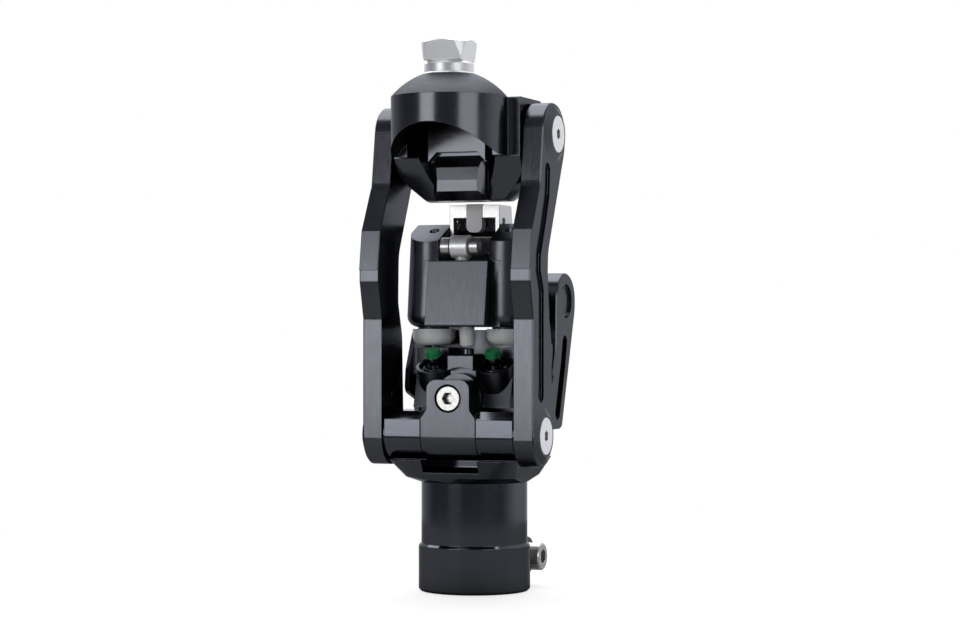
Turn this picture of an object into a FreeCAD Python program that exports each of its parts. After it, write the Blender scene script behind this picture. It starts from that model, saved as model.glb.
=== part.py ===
import FreeCAD, Part
import math
import os

# Prosthetic knee joint. Millimetres, +Z up, front towards -Y, +X to the wearer's left.
# The origin is on the axis of the shin tube, at the bottom face of the tube clamp.

Vector = FreeCAD.Vector
axis_x = Vector(1, 0, 0)
axis_y = Vector(0, 1, 0)
axis_z = Vector(0, 0, 1)

# Axes of the joints, across the knee
knee_y = -4.0
knee_z = 162.0
stance_y = -16.8
stance_z = 56.3
rocker_y = 28.6
rocker_z = 103.5
eye_y = -12.6
eye_z = 122.5
tip_y = -6.4
tip_z = 87.3
lever_arm = 23.0

# Clearances
running_gap = 0.05
seat_gap = 0.02
foot_gap = 0.95
tip_gap = 0.72
brake_gap = 0.9

# Length of a cutting tool, more than any piece
reach = 100.0

# Shin tube clamp and neck
tube_radius = 15.0
tube_depth = 34.0
collar_radius = 20.0
collar_height = 17.0
collar_chamfer = 0.8
neck_radius = 19.0
neck_top_z = 39.4
slit_width = 2.2
slit_height = 22.0
ear_half_width = 12.0
ear_rear_y = 28.5
ear_bottom_z = 3.5
clamp_screw_y = 23.0
clamp_screw_z = 10.3
clamp_screw_radius = 3.0
clamp_head_radius = 5.0
clamp_head_length = 6.0
clamp_hex = 5.0
clamp_nut_hex = 10.0
clamp_nut_length = 5.0

# Hinge block on top of the neck
block_half_width = 24.0
block_front = 9.2
block_bottom_z = 46.5
knuckle_radius = 9.0
knuckle_flat_top = 5.5
knuckle_top = 8.4
ledge_top_z = 62.0
ledge_rear_y = 20.0
ledge_half_width = 18.3
spine_half_width = 15.6
spine_rear_y = 11.0
cap_half_width = 10.2
cap_side_gap = 0.3
slot_floor_z = 43.0

# Axles, their bushes and end screws
axle_radius = 6.0
bush_radius = 7.5
bush_flange_radius = 9.0
bush_flange = 0.55
bush_length = 9.0
end_screw_radius = 6.6
end_screw_head = 1.5
end_screw_shank = 2.5
end_screw_length = 9.0
end_screw_hex = 3.5
end_screw_socket = 0.9

# Front cap of the lower axle, with the lug and its screw
lug_half_width = 8.0
lug_top_z = 75.7
lug_thickness = 10.2
cap_screw_z = 69.2
cap_screw_radius = 2.5
cap_head_radius = 4.65
cap_head_length = 5.0
cap_head_sink = 0.2
cap_hex = 4.0
cap_screw_grip = 14.0

# Carrier block behind the lower axle
carrier_half_width = 18.3
carrier_front_y = -13.0
carrier_rear_y = 17.0
carrier_front_gap = 0.9
carrier_bottom_front_z = stance_z + knuckle_top + carrier_front_gap
carrier_top_z = 77.0
carrier_front_slant = 3.2
stop_half_width = 4.8
stop_front_y = -14.0
stop_rear_y = -2.0
striker_stand = 2.08
stop_top_z = tip_z - tip_gap - striker_stand
stop_arch_radius = 10.6
stop_arch_depth = 3.0
boss_radius = 8.6
seat_inner_x = 8.2
seat_outer_x = 20.3
seat_front_y = -4.6
seat_rear_y = 5.0
wall_front_y = 5.6
wall_thickness = 1.9
wall_top_z = 93.0
striker_radius = 2.2
carrier_screw_x = 12.0
carrier_screw_y = 12.0
carrier_screw_radius = 2.5
carrier_head_radius = 4.25
carrier_head_length = 5.0

# Green bumpers on their posts
bumper_x = 11.4
bumper_y = -12.0
bumper_z = 86.0
bumper_tilt = 26.0
bumper_radius = 2.75
bumper_height = 2.4
post_radius = 2.2
post_length = 4.6
post_flange_radius = 4.4
post_flange = 1.0
cup_radius = 6.8
cup_depth = 1.2
cup_length = 7.0
cup_rim = 1.1

# Rear arms that carry the rocker's pin
arm_inner_x = 18.5
arm_outer_x = 25.0
arm_end_radius = 10.2
arm_bottom_z = 57.1
arm_front_y = 3.5
cheek_inner_x = 22.7
cheek_outer_x = 24.3
cheek_front_y = -7.0
cheek_lean = 7.6
cheek_top_z = 92.7
arm_top_bend = 12.0
arm_neck_front = 10.8
arm_neck_drop = 16.4
arm_foot_front = 15.4
arm_foot_height = 13.5
arm_foot_rear = 4.6
arm_slot_width = 5.4
arm_slot_depth = 3.0
arm_slot_top = 15.2
arm_slot_middle = 22.5
arm_slot_bottom = 40.5
arm_slot_foot = 9.6
arm_screw_places = ((5.9, 64.6), (9.4, 69.3))
arm_screw_radius = 1.6
arm_screw_head_radius = 2.8
arm_screw_head = 2.2
arm_screw_length = 9.8
pin_radius = 5.1
pin_recess = 1.0
ring_recess_radius = 6.2
ring_recess_depth = 2.4
ring_thickness = 1.0
ring_mouth = 2.0
pin_bush_radius = 6.6

# Side plates
plate_inner_x = 24.75
plate_outer_x = 32.0
plate_end_radius = 10.9
plate_boss_height = 1.3
plate_boss_radius = 9.9
plate_boss_rim = 0.7
plate_groove_width = 5.8
plate_groove_depth = 1.0
plate_hole_radius = 1.55
belly_z = 111.0
belly_front_y = -29.8
belly_rear_y = -11.5
shank_front_y = -26.6
shank_top_z = 97.0
shank_rear_offset = 8.9
shank_rear_drop = 20.0
thigh_front_step = 4.4
thigh_front_drop = 18.0
neck_drop = 5.0
belly_rise = 9.0
belly_drop = 8.0
belly_flat = 5.0
bend_large = 14.0
bend_medium = 12.0
bend_small = 10.0
corner_round = 4.0
plate_edge_chamfer = 0.5
groove_inset = 7.9
groove_thigh_inset = 8.6
groove_start_drop = 13.4
groove_thigh_drop = 21.0
groove_thigh_shift = 12.6
groove_thigh_end = 31.0
groove_belly_rise = 9.3
groove_belly_drop = 4.7
groove_belly_flat = 2.3
groove_end_rise = 14.5

# Rocker block
rocker_bottom_z = 94.1
rocker_deck_z = 117.6
rocker_top_z = 131.0
rocker_rear_y = 13.0
tower_x = 14.25
tower_y = -3.0
tower_radius = 9.0
tower_flare = 0.9
tower_narrow = 0.7
tower_foot_fillet = 4.0
tower_front_drop = 6.8
channel_half_width = 9.7
nose_half_width = 11.25
nose_top_y = -16.2
nose_bottom_y = -20.0
hub_half_width = 18.2
hub_radius = 9.6
foot_radius = 7.85
foot_height = 5.8
foot_round = 3.7
foot_floor = 3.4
foot_screw_radius = 2.5
foot_screw_length = 24.0
foot_screw_hex = 3.0
foot_washer = 0.7
foot_washer_inset = 1.9
top_hole_radius = 1.8

# Plunger with its eye and nylon tip
plunger_radius = 2.5
plunger_tip_radius = 2.75
plunger_tip_length = 6.7
eye_radius = 4.1
eye_half_width = 3.15
eye_pin_radius = 1.8
eye_play = 0.25

# Brake lever and its shoe
lever_half_width = 9.5
lever_plate = 1.5
lever_front_y = 0.0
lever_beam_depth = 4.0
lever_beam_height = 4.6
lever_bridge_drop = 1.5
lever_bridge_top = 3.5
lever_rear_y = 12.5
lever_arm_inner = 3.9
lever_arm_outer = 7.0
lever_arm_radius = 3.25
lever_pin_radius = 2.0
lever_eye_radius = 4.4
shoe_half_width = 3.0
shoe_front_y = -0.3
shoe_depth = 3.6
shoe_foot_gap = 2.0
shoe_stand = 0.35

# Head with the brake drum, skirt and dome
drum_radius = 23.4
head_half_width = 23.75
head_top_z = 174.5
head_front_y = -17.6
head_rear_y = 4.1
head_slope = 17.0
skirt_y = -24.4
skirt_radius = 20.4
skirt_wall = 4.4
skirt_bottom_z = 153.8
seam_z = 174.3
ceiling_z = 168.0
dome_sphere = 26.5
dome_flat_radius = 9.5
arch_radius = 24.0
arch_top_z = 164.4
pad_half_width = 10.8
pad_bottom_z = 155.7
pad_chamfer = 3.3
drum_cone_radius = 17.0
drum_cone_length = 8.6
drum_front_low_y = -9.5
nose_front_y = -16.9
nose_half = 9.7
nose_bevel = 2.2
nose_facet_top = 7.2
nose_facet_bottom = 3.3

# Pyramid adapter
pyramid_neck_radius = 8.7
pyramid_neck_height = 4.6
pyramid_neck_cone = 1.1
pyramid_height = 7.0
pyramid_top_width = 17.2
pyramid_taper = 15.0
pyramid_turned_radius = 9.8
pyramid_chamfer = 0.6
stud_radius = 5.0
stud_length = 12.0


def rounded_wire(corners, place):
    # Each corner is (a, b, radius); place puts (a, b) into space.
    points = [Vector(a, b, 0) for a, b, radius in corners]
    count = len(points)
    entries = []
    middles = []
    leaves = []
    for index in range(count):
        here = points[index]
        radius = corners[index][2]
        back = (points[index - 1] - here).normalize()
        ahead = (points[(index + 1) % count] - here).normalize()
        half = back.getAngle(ahead) / 2
        reach = radius / math.tan(half)
        lean = (back + ahead).normalize()
        entries.append(place(here + back * reach))
        middles.append(place(here + lean * (radius / math.sin(half) - radius)))
        leaves.append(place(here + ahead * reach))
    edges = []
    for index in range(count):
        if corners[index][2] > 0:
            edges.append(Part.Arc(entries[index], middles[index], leaves[index]).toShape())
        following = entries[(index + 1) % count]
        if leaves[index].distanceToPoint(following) > 0.001:
            edges.append(Part.LineSegment(leaves[index], following).toShape())
    return Part.Wire(edges)


def prism_x(corners, x_from, x_to):
    # Corners are (y, z, radius).
    wire = rounded_wire(corners, lambda p: Vector(x_from, p.x, p.y))
    return Part.Face(wire).extrude(axis_x * (x_to - x_from))


def prism_y(corners, y_from, y_to):
    # Corners are (x, z, radius).
    wire = rounded_wire(corners, lambda p: Vector(p.x, y_from, p.y))
    return Part.Face(wire).extrude(axis_y * (y_to - y_from))


def box(x_from, x_to, y_from, y_to, z_from, z_to):
    return Part.makeBox(x_to - x_from, y_to - y_from, z_to - z_from, Vector(x_from, y_from, z_from))


def rod_x(radius, y, z, x_from, x_to):
    return Part.makeCylinder(radius, x_to - x_from, Vector(x_from, y, z), axis_x)


def rod_y(radius, x, z, y_from, y_to):
    return Part.makeCylinder(radius, y_to - y_from, Vector(x, y_from, z), axis_y)


def rod_z(radius, x, y, z_from, z_to):
    return Part.makeCylinder(radius, z_to - z_from, Vector(x, y, z_from), axis_z)


def turned(profile, base, direction):
    # Profile is (radius, height) pairs from the axis outwards and back; it is spun about the axis.
    points = [Vector(radius, 0, height) for radius, height in profile]
    solid = Part.Face(Part.makePolygon(points + [points[0]])).revolve(Vector(0, 0, 0), axis_z, 360)
    solid.Placement = FreeCAD.Placement(base, FreeCAD.Rotation(axis_z, direction))
    return solid


def hex_prism(across_flats, depth, base, direction):
    radius = across_flats / math.sqrt(3)
    points = []
    for index in range(7):
        angle = math.radians(60 * index)
        points.append(Vector(radius * math.cos(angle), radius * math.sin(angle), 0))
    solid = Part.Face(Part.makePolygon(points)).extrude(axis_z * depth)
    solid.Placement = FreeCAD.Placement(base, FreeCAD.Rotation(axis_z, direction))
    return solid


def groove_x(points, width, x_from, x_to):
    # A groove of constant width along a line of (y, z) points.
    pieces = [rod_x(width / 2, y, z, x_from, x_to) for y, z in points]
    for start, end in zip(points, points[1:]):
        length = math.dist(start, end)
        run = Part.makeBox(x_to - x_from, length, width, Vector(x_from, 0, -width / 2))
        angle = math.degrees(math.atan2(end[1] - start[1], end[0] - start[0]))
        run.rotate(Vector(0, 0, 0), axis_x, angle)
        run.translate(Vector(0, start[0], start[1]))
        pieces.append(run)
    return pieces[0].fuse(pieces[1:])


def mirrored(shape):
    return shape.mirror(Vector(0, 0, 0), axis_x)


def both_sides(shape):
    return shape.fuse(mirrored(shape))


def cap_screw(head_radius, head_length, radius, grip, hex_size, seat, direction):
    # The seat is the underside of the head; direction points out of the head.
    head = turned([(0, 0), (head_radius, 0), (head_radius, head_length - 0.5),
                   (head_radius - 0.5, head_length), (0, head_length)], seat, direction)
    shank = Part.makeCylinder(radius, grip, seat - direction * grip, direction)
    socket_depth = head_length * 0.55
    socket = hex_prism(hex_size, socket_depth, seat + direction * (head_length - socket_depth), direction)
    return head.fuse(shank).cut(socket)


def save(name, shape):
    cleaned = shape.removeSplitter()
    cleaned.exportStep("parts/" + name + ".step")


# Places that follow from the sizes
plunger_axis = Vector(0, eye_y - tip_y, eye_z - tip_z).normalize()
lever_y = eye_y + lever_arm * plunger_axis.z
lever_z = eye_z - lever_arm * plunger_axis.y
brake_line_y = shoe_front_y + shoe_depth / 4
drum_over_shoe_z = knee_z - math.sqrt(drum_radius ** 2 - (brake_line_y - knee_y) ** 2)
shoe_top_z = drum_over_shoe_z - brake_gap
beam_top_z = shoe_top_z - shoe_stand
foot_top_z = rocker_bottom_z - foot_washer
foot_bottom_z = foot_top_z - foot_height
seat_top_z = foot_bottom_z - foot_gap
cap_front_y = stance_y - block_front
lug_face_y = cap_front_y
lug_rear_y = lug_face_y + lug_thickness
bumper_axis = Vector(0, -math.sin(math.radians(bumper_tilt)), math.cos(math.radians(bumper_tilt)))
dome_top_z = seam_z - math.sqrt(dome_sphere ** 2 - skirt_radius ** 2) + math.sqrt(
    dome_sphere ** 2 - dome_flat_radius ** 2)
boss_top_x = plate_outer_x + plate_boss_height
axle_end_x = boss_top_x - end_screw_head


def knuckle_section(front_y, rear_y, top_z, bottom_radius):
    # Round below the axle, upright in front, with a sloping top edge.
    return [(front_y, stance_z - knuckle_radius, bottom_radius),
            (front_y, stance_z + knuckle_flat_top, 0),
            (front_y + 2.9, top_z, 0),
            (rear_y, top_z, 0),
            (rear_y, stance_z - knuckle_radius, 0)]


def make_base_housing():
    collar = rod_z(collar_radius, 0, 0, 0, collar_height)
    collar = collar.makeChamfer(collar_chamfer, collar.Edges)
    neck = rod_z(neck_radius, 0, 0, collar_height - 1, neck_top_z)
    flare = make_flare()
    block = prism_x(knuckle_section(cap_front_y, arm_front_y - 0.3, stance_z + knuckle_top, 8.5),
                    -block_half_width, block_half_width)
    ledge = box(-ledge_half_width, ledge_half_width, stance_y, ledge_rear_y, block_bottom_z - 1, ledge_top_z)
    ledge = ledge.makeChamfer(3.0, [edge for edge in ledge.Edges if is_low_rear(edge)])
    spine = box(-spine_half_width, spine_half_width, 0, spine_rear_y, neck_top_z - 3.5, block_bottom_z + 1)
    ears = prism_y([(-ear_half_width, ear_bottom_z, 2.5), (ear_half_width, ear_bottom_z, 2.5),
                    (ear_half_width, collar_height, 2.5), (-ear_half_width, collar_height, 2.5)],
                   0.8 * collar_radius, ear_rear_y)
    body = collar.fuse([neck, flare, block, ledge, spine, ears])
    room = block_half_width + 1
    back_step = box(-room, room, stance_y + knuckle_radius + 1.5, ledge_rear_y + 1, ledge_top_z, reach)
    cap_room = cap_half_width + cap_side_gap
    slot_rear_y = stance_y + knuckle_radius + 0.8
    cap_slot = prism_x([(cap_front_y - 5, slot_floor_z, 0), (slot_rear_y, slot_floor_z, 1.5),
                        (slot_rear_y, reach, 0), (cap_front_y - 5, reach, 0)], -cap_room, cap_room)
    bore = rod_z(tube_radius, 0, 0, -1, tube_depth)
    slit = box(-slit_width / 2, slit_width / 2, 0, ear_rear_y + 1, -1, slit_height)
    slit_end = rod_y(slit_width, 0, slit_height, tube_radius - 3, collar_radius + 1)
    screw_hole = rod_x(clamp_screw_radius + 0.15, clamp_screw_y, clamp_screw_z, -room, room)
    axle_hole = rod_x(bush_radius + seat_gap, stance_y, stance_z, -room, room)
    body = body.cut([back_step, cap_slot, bore, slit, slit_end, screw_hole, axle_hole])
    return body.cut(make_carrier_screw_holes())


def is_low_rear(edge):
    middle = edge.CenterOfMass
    return abs(middle.z - block_bottom_z + 1) < 0.01 and abs(middle.y - ledge_rear_y) < 0.01


def oblong(half_width, front_y, rear_y, corner, z):
    corners = [(-half_width, front_y, corner), (half_width, front_y, corner),
               (half_width, rear_y, corner), (-half_width, rear_y, corner)]
    return rounded_wire(corners, lambda p: Vector(p.x, p.y, z))


def make_flare():
    # The round neck opens out into the hinge block.
    low = oblong(neck_radius + 0.3, -neck_radius - 0.3, neck_radius + 0.3, neck_radius - 0.4, neck_top_z - 0.4)
    middle = oblong(block_half_width - 3.4, cap_front_y + 4.5, neck_radius, 9.0, neck_top_z + 1.7)
    high = oblong(block_half_width, cap_front_y + 0.4, neck_radius, 5.0, block_bottom_z + 1)
    return Part.makeLoft([low, middle, high], True, True)


def make_carrier_screw_holes():
    depth = 12.0
    return both_sides(rod_z(carrier_screw_radius + seat_gap, carrier_screw_x, carrier_screw_y,
                            ledge_top_z - depth, ledge_top_z + 1))


def make_bearing_cap():
    section = knuckle_section(cap_front_y, stance_y + knuckle_radius, stance_z + knuckle_top, 8.5)
    body = prism_x(section, -cap_half_width, cap_half_width)
    low_z = stance_z + knuckle_flat_top
    lug = prism_y([(-cap_half_width, low_z - 4, 0), (cap_half_width, low_z - 4, 0),
                   (cap_half_width, low_z + 0.4, 0), (lug_half_width, low_z + 3.4, 2.0),
                   (lug_half_width, lug_top_z, 3.4), (-lug_half_width, lug_top_z, 3.4),
                   (-lug_half_width, low_z + 3.4, 2.0), (-cap_half_width, low_z + 0.4, 0)],
                  lug_face_y, lug_rear_y)
    hole = rod_x(axle_radius + running_gap, stance_y, stance_z, -cap_half_width - 1, cap_half_width + 1)
    head_room = rod_y(cap_head_radius + 0.25, 0, cap_screw_z, lug_face_y - 1,
                      lug_face_y + cap_head_length + cap_head_sink)
    screw_hole = rod_y(cap_screw_radius + seat_gap, 0, cap_screw_z, lug_face_y - 1, lug_rear_y + 1)
    return body.fuse(lug).cut([hole, head_room, screw_hole])


def make_bearing_cap_screw():
    seat = Vector(0, lug_face_y + cap_head_length + cap_head_sink, cap_screw_z)
    return cap_screw(cap_head_radius, cap_head_length, cap_screw_radius, cap_screw_grip, cap_hex,
                     seat, axis_y * -1)


def bumper_point(distance):
    # A point on the left bumper's axis, measured from the middle of its top face.
    return Vector(bumper_x, bumper_y, bumper_z) + bumper_axis * distance


def make_carrier():
    half = carrier_half_width
    step_y = stance_y + knuckle_radius + 2.0
    profile = [(carrier_front_y, carrier_bottom_front_z, 0), (carrier_front_y + carrier_front_slant, carrier_top_z, 1.5),
               (carrier_rear_y, carrier_top_z, 3.0), (carrier_rear_y, ledge_top_z, 0),
               (step_y, ledge_top_z, 0), (step_y, carrier_bottom_front_z, 0)]
    body = prism_x(profile, -half, half)
    boss = rod_y(boss_radius, 0, cap_screw_z, lug_rear_y, 0)
    keep_above = box(-half, half, lug_rear_y - 1, 1, carrier_bottom_front_z, carrier_top_z + 5)
    stop = box(-stop_half_width, stop_half_width, stop_front_y, stop_rear_y, carrier_top_z - 2, stop_top_z)
    stop = stop.makeChamfer(0.6, [edge for edge in stop.Edges if abs(edge.CenterOfMass.z - stop_top_z) < 0.01])
    stop = stop.cut(rod_y(stop_arch_radius, 0, cap_screw_z, stop_front_y - 1, stop_front_y + stop_arch_depth))
    seat = box(seat_inner_x, seat_outer_x, seat_front_y, seat_rear_y, carrier_top_z - 6, seat_top_z)
    cup_base = bumper_point(-bumper_height - post_length - cup_length)
    cup = Part.makeCylinder(cup_radius, cup_length + cup_depth, cup_base, bumper_axis)
    cup = cup.cut(box(0, reach, -reach, reach, 0, carrier_bottom_front_z + 1))
    wall = box(-half, half, wall_front_y, wall_front_y + wall_thickness, carrier_top_z - 2, wall_top_z)
    body = body.fuse([boss.common(keep_above), stop, wall, both_sides(seat), both_sides(cup)])
    dish = Part.makeCylinder(cup_radius - cup_rim, reach, cup_base + bumper_axis * cup_length, bumper_axis)
    thread = rod_y(cap_screw_radius + seat_gap, 0, cap_screw_z, lug_rear_y - 1, lug_rear_y + cap_screw_grip)
    striker_hole = rod_z(striker_radius + seat_gap, 0, tip_y, stop_top_z - 5, stop_top_z + 1)
    head_room = rod_z(carrier_head_radius + 0.25, carrier_screw_x, carrier_screw_y,
                      carrier_top_z - carrier_head_length, carrier_top_z + 1)
    screw_hole = rod_z(carrier_screw_radius + seat_gap, carrier_screw_x, carrier_screw_y,
                       ledge_top_z - 1, carrier_top_z)
    return body.cut([both_sides(dish), thread, striker_hole, both_sides(head_room.fuse(screw_hole)),
                     both_sides(make_arm_screw_holes())])


def make_carrier_screws():
    grip = carrier_top_z - carrier_head_length - ledge_top_z + 10
    seat = Vector(carrier_screw_x, carrier_screw_y, carrier_top_z - carrier_head_length)
    screw = cap_screw(carrier_head_radius, carrier_head_length, carrier_screw_radius, grip, 4.0, seat, axis_z)
    return Part.makeCompound([screw, mirrored(screw)])


def make_striker():
    top_z = tip_z - tip_gap
    return turned([(0, 0), (striker_radius, 0), (striker_radius, top_z - stop_top_z + 4.1),
                   (striker_radius - 0.4, top_z - stop_top_z + 4.5), (0, top_z - stop_top_z + 4.5)],
                  Vector(0, tip_y, stop_top_z - 4.5), axis_z)


def make_bumper_post():
    low = bumper_point(-bumper_height - post_length)
    return turned([(0, 0), (post_flange_radius, 0), (post_flange_radius, post_flange - 0.3),
                   (post_flange_radius - 0.3, post_flange), (post_radius, post_flange),
                   (post_radius, post_length - 0.8), (bumper_radius + 0.2, post_length - 0.8),
                   (bumper_radius + 0.2, post_length), (0, post_length)], low, bumper_axis)


def make_bumper():
    return turned([(0, 0), (bumper_radius, 0), (bumper_radius, bumper_height - 0.4),
                   (bumper_radius - 0.4, bumper_height), (0, bumper_height)],
                  bumper_point(-bumper_height), bumper_axis)


def make_clamp_screw():
    seat = Vector(ear_half_width, clamp_screw_y, clamp_screw_z)
    grip = 2 * ear_half_width + clamp_nut_length + 1
    return cap_screw(clamp_head_radius, clamp_head_length, clamp_screw_radius, grip, clamp_hex, seat, axis_x)


def make_clamp_nut():
    base = Vector(-ear_half_width - clamp_nut_length, clamp_screw_y, clamp_screw_z)
    hole = rod_x(clamp_screw_radius + seat_gap, clamp_screw_y, clamp_screw_z, base.x - 1, -ear_half_width + 1)
    return hex_prism(clamp_nut_hex, clamp_nut_length, base, axis_x).cut(hole)


def make_bush(x_end, y, z, radius, hole, flange_radius, flange, length):
    # A flanged bush whose flange stands on the outer face at x_end.
    sleeve = rod_x(radius, y, z, x_end - length, x_end)
    collar = rod_x(flange_radius, y, z, x_end, x_end + flange)
    return sleeve.fuse(collar).cut(rod_x(hole, y, z, x_end - length - 1, x_end + flange + 1))


def arm_outline():
    return [(rocker_y - arm_end_radius, rocker_z + arm_end_radius, arm_end_radius - 0.1),
            (rocker_y + arm_end_radius, rocker_z + arm_end_radius, arm_end_radius - 0.1),
            (rocker_y + arm_end_radius, rocker_z - 3, arm_top_bend),
            (rocker_y - arm_foot_rear, arm_bottom_z, 2.5),
            (arm_front_y, arm_bottom_z, 2.0),
            (arm_front_y, arm_bottom_z + arm_foot_height, 2.5),
            (rocker_y - arm_foot_front, arm_bottom_z + arm_foot_height + 2, 8),
            (rocker_y - arm_neck_front, rocker_z - arm_neck_drop, arm_top_bend)]


def make_rear_arm():
    body = prism_x(arm_outline(), arm_inner_x, arm_outer_x)
    body = body.makeChamfer(0.5, [edge for edge in body.Edges if is_at_x(edge, arm_outer_x)])
    slot = groove_x([(rocker_y - 1.6, rocker_z - arm_slot_top), (rocker_y - 3.4, rocker_z - arm_slot_middle),
                     (rocker_y - arm_slot_foot, rocker_z - arm_slot_bottom)], arm_slot_width,
                    arm_outer_x - arm_slot_depth, arm_outer_x + 1)
    cheek = prism_x([(cheek_front_y, ledge_top_z + knuckle_radius, 3), (cheek_front_y + 1, stop_top_z - 5.5, 3),
                     (cheek_front_y + cheek_lean, cheek_top_z, 1.5), (rocker_y - 12.5, cheek_top_z - 5, 3),
                     (rocker_y - 14.0, arm_bottom_z + 16, 0), (arm_front_y + 1, arm_bottom_z + 10, 0)],
                    cheek_inner_x, cheek_outer_x)
    body = body.fuse(cheek)
    hole = rod_x(pin_radius + seat_gap, rocker_y, rocker_z, arm_inner_x - 1, arm_outer_x + 1)
    recess = rod_x(ring_recess_radius, rocker_y, rocker_z, arm_outer_x - ring_recess_depth, arm_outer_x + 1)
    return body.cut([slot, hole, recess, make_arm_screw_holes()])


def make_arm_screw_holes():
    holes = []
    for y, z in arm_screw_places:
        holes.append(rod_x(arm_screw_radius + seat_gap, y, z, arm_outer_x - arm_screw_length - 0.3,
                           arm_outer_x + 1))
        holes.append(rod_x(arm_screw_head_radius + 0.1, y, z, arm_outer_x - arm_screw_head,
                           arm_outer_x + 1))
    return holes[0].fuse(holes[1:])


def make_arm_screws(side):
    screws = []
    for y, z in arm_screw_places:
        seat = Vector(side * (arm_outer_x - arm_screw_head), y, z)
        screws.append(cap_screw(arm_screw_head_radius, arm_screw_head, arm_screw_radius,
                                arm_screw_length - arm_screw_head, 2.5, seat, axis_x * side))
    return Part.makeCompound(screws)


def make_rocker_pin():
    end_x = arm_outer_x - pin_recess
    pin = rod_x(pin_radius, rocker_y, rocker_z, -end_x, end_x)
    pin = pin.makeChamfer(0.5, [edge for edge in pin.Edges if edge.Closed])
    return pin.cut(both_sides(ring_at(end_x, pin_radius + 1)))


def ring_at(end_x, outer_radius):
    # The retaining ring's own shape, in its groove near the pin's end.
    inner_x = arm_outer_x - ring_recess_depth + 0.05
    ring = rod_x(outer_radius, rocker_y, rocker_z, inner_x, inner_x + ring_thickness)
    return ring.cut(rod_x(pin_radius - 0.5, rocker_y, rocker_z, inner_x - 1, end_x))


def make_pin_rings():
    ring = ring_at(arm_outer_x, ring_recess_radius - 0.1)
    mouth = box(0, reach, rocker_y - ring_mouth, rocker_y + ring_mouth, rocker_z, rocker_z + reach)
    ring = ring.cut(mouth)
    return Part.makeCompound([ring, mirrored(ring)])


def is_at_x(edge, x):
    return all(abs(vertex.X - x) < 0.01 for vertex in edge.Vertexes)


def plate_outline():
    end = plate_end_radius
    return [(knee_y - end, knee_z + end, end - 0.1),
            (knee_y + end, knee_z + end, end - 0.1),
            (knee_y + end, knee_z - neck_drop, bend_large),
            (belly_rear_y + 0.5, belly_z + belly_rise, bend_large),
            (belly_rear_y, belly_z - belly_drop, bend_small),
            (stance_y + shank_rear_offset, belly_z - shank_rear_drop, bend_medium),
            (stance_y + end - 0.2, stance_z - end, end - 0.8),
            (shank_front_y, stance_z - end, end - 1.2),
            (shank_front_y, shank_top_z, corner_round),
            (belly_front_y, belly_z - 1, corner_round),
            (belly_front_y, belly_z - 1 + belly_flat, bend_medium),
            (knee_y - end - thigh_front_step, knee_z - thigh_front_drop, bend_medium)]


def plate_groove():
    return [(knee_y - groove_inset, knee_z - groove_start_drop),
            (knee_y - groove_thigh_inset, knee_z - groove_thigh_drop),
            (knee_y - groove_thigh_shift, knee_z - groove_thigh_end),
            (belly_front_y + groove_inset + 0.4, belly_z + groove_belly_rise),
            (belly_front_y + groove_inset, belly_z + groove_belly_flat),
            (shank_front_y + groove_inset, belly_z - groove_belly_drop),
            (shank_front_y + groove_inset, belly_z - shank_rear_drop),
            (shank_front_y + groove_inset, stance_z + groove_end_rise)]


def make_side_plate():
    body = prism_x(plate_outline(), plate_inner_x, plate_outer_x)
    body = body.makeChamfer(plate_edge_chamfer, [edge for edge in body.Edges if is_at_x(edge, plate_outer_x)])
    rim = end_screw_radius + plate_boss_rim
    pieces = []
    cuts = [groove_x(plate_groove(), plate_groove_width, plate_outer_x - plate_groove_depth, plate_outer_x + 1)]
    for y, z in ((knee_y, knee_z), (stance_y, stance_z)):
        boss_base = Vector(plate_outer_x, y, z)
        pieces.append(Part.makeCone(plate_boss_radius, rim, plate_boss_height, boss_base, axis_x))
        cuts.append(rod_x(axle_radius + seat_gap, y, z, plate_inner_x - 1, boss_top_x + 1))
        cuts.append(rod_x(end_screw_radius + 0.05, y, z, boss_top_x - end_screw_head, boss_top_x + 1))
    hole_y, hole_z = plate_groove()[-1]
    cuts.append(rod_x(plate_hole_radius, hole_y, hole_z, plate_inner_x - 1, plate_outer_x + 1))
    return body.fuse(pieces).cut(cuts)


def make_axle(y, z):
    axle = rod_x(axle_radius, y, z, -axle_end_x, axle_end_x)
    for side in (1, -1):
        start = Vector(side * axle_end_x, y, z)
        axle = axle.cut(Part.makeCylinder(end_screw_shank + seat_gap, end_screw_length, start, axis_x * -side))
    return axle


def make_end_screws(y, z):
    screws = []
    for side in (1, -1):
        out = axis_x * side
        seat = Vector(side * axle_end_x, y, z)
        screw = turned([(0, 0), (end_screw_radius, 0), (end_screw_radius, end_screw_head - 0.2),
                        (end_screw_radius - 0.2, end_screw_head), (0, end_screw_head)], seat, out)
        shank = Part.makeCylinder(end_screw_shank, end_screw_length - 1, seat, out * -1)
        socket = hex_prism(end_screw_hex, end_screw_head, seat + out * (end_screw_head - end_screw_socket), out)
        screws.append(screw.fuse(shank).cut(socket))
    return Part.makeCompound(screws)


def plunger_hole(radius):
    start = Vector(0, tip_y, tip_z) - plunger_axis * reach
    return Part.makeCylinder(radius, 2 * reach, start, plunger_axis)


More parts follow.
